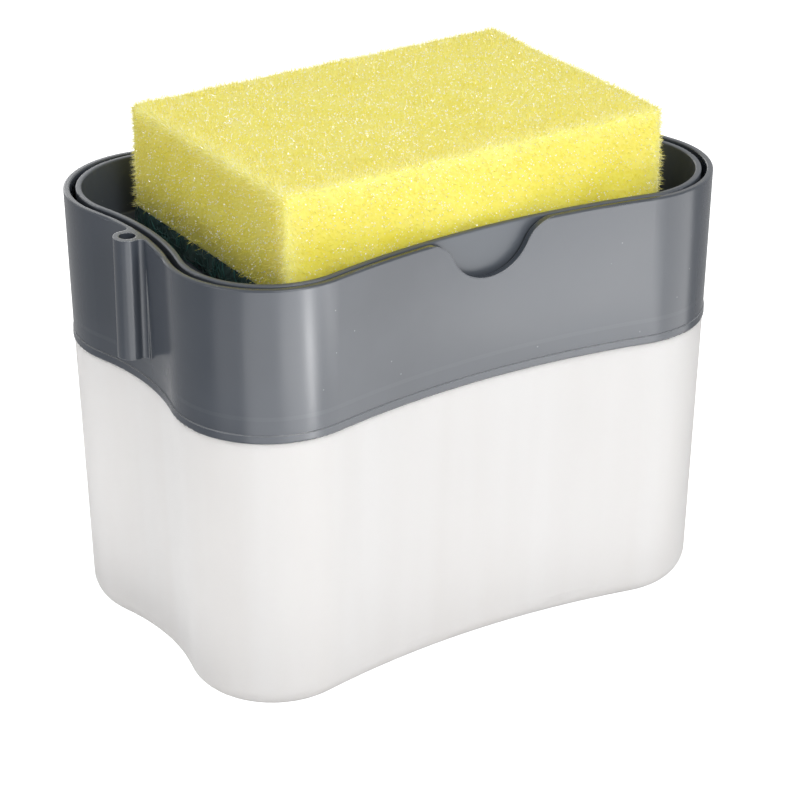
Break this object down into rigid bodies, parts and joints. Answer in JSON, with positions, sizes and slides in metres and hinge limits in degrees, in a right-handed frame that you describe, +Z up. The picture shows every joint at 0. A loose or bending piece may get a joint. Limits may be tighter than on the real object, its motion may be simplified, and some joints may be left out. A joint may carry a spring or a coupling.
{
  "type": "soap pump caddy",
  "caption": "Dish soap caddy: a frosted tub under a waisted grey collar, whose sprung tray holds a sponge and pumps soap up through its floor when pressed.",
  "frame": {"origin": "middle of the tub's base, on the surface it stands on", "axes": "+Z up, +X along the long side away from the socket tube, -Y at the front with the finger notch"},
  "size_m": [0.1421, 0.092, 0.1225],
  "materials": {
    "frosted_tub": "frosted translucent polypropylene",
    "grey_shell": "moulded grey ABS with a soft gloss",
    "yellow_foam": "open-cell polyurethane foam",
    "scouring_fibre": "non-woven nylon scouring fibre",
    "pump_white": "moulded natural polypropylene",
    "clear_tube": "extruded polyethylene tube",
    "seal_rubber": "moulded sealing rubber",
    "valve_ball": "ground glass ball",
    "spring_wire": "drawn stainless wire"
  },
  "bodies": {
    "reservoir": {"reservoir_tub": "frosted_tub"},
    "head": {"collar": "grey_shell", "neck_gasket": "seal_rubber", "pump_housing": "pump_white", "stem_guide": "pump_white", "pump_nut": "pump_white", "dip_tube": "clear_tube"},
    "inlet_ball": {"inlet_ball": "valve_ball"},
    "plunger": {"pump_stem": "pump_white", "pump_piston": "seal_rubber", "piston_plug": "pump_white", "return_spring": "spring_wire"},
    "outlet_ball": {"outlet_ball": "valve_ball"},
    "tray": {"press_tray": "grey_shell", "soap_outlet": "pump_white"},
    "sponge": {"scour_pad": "scouring_fibre", "sponge_foam": "yellow_foam"}
  },
  "joints": [
    {"name": "head_lift", "type": "slide", "parent": "reservoir", "child": "head", "axis": [0, 0, 1], "range_m": [0, 0.075]},
    {"name": "plunger_press", "type": "slide", "parent": "head", "child": "plunger", "axis": [0, 0, 1], "range_m": [-0.01, 0], "stiffness_N_per_m": 400, "springref_m": 0.012, "deforming": ["return_spring"]},
    {"name": "inlet_ball_lift", "type": "slide", "parent": "head", "child": "inlet_ball", "axis": [0, 0, 1], "range_m": [0, 0.0015]},
    {"name": "outlet_ball_lift", "type": "slide", "parent": "plunger", "child": "outlet_ball", "axis": [0, 0, 1], "range_m": [0, 0.0015]},
    {"name": "tray_lift", "type": "slide", "parent": "plunger", "child": "tray", "axis": [0, 0, 1], "range_m": [0, 0.03]},
    {"name": "sponge_lift", "type": "slide", "parent": "tray", "child": "sponge", "axis": [0, 0, 1], "range_m": [0, 0.06]}
  ]
}
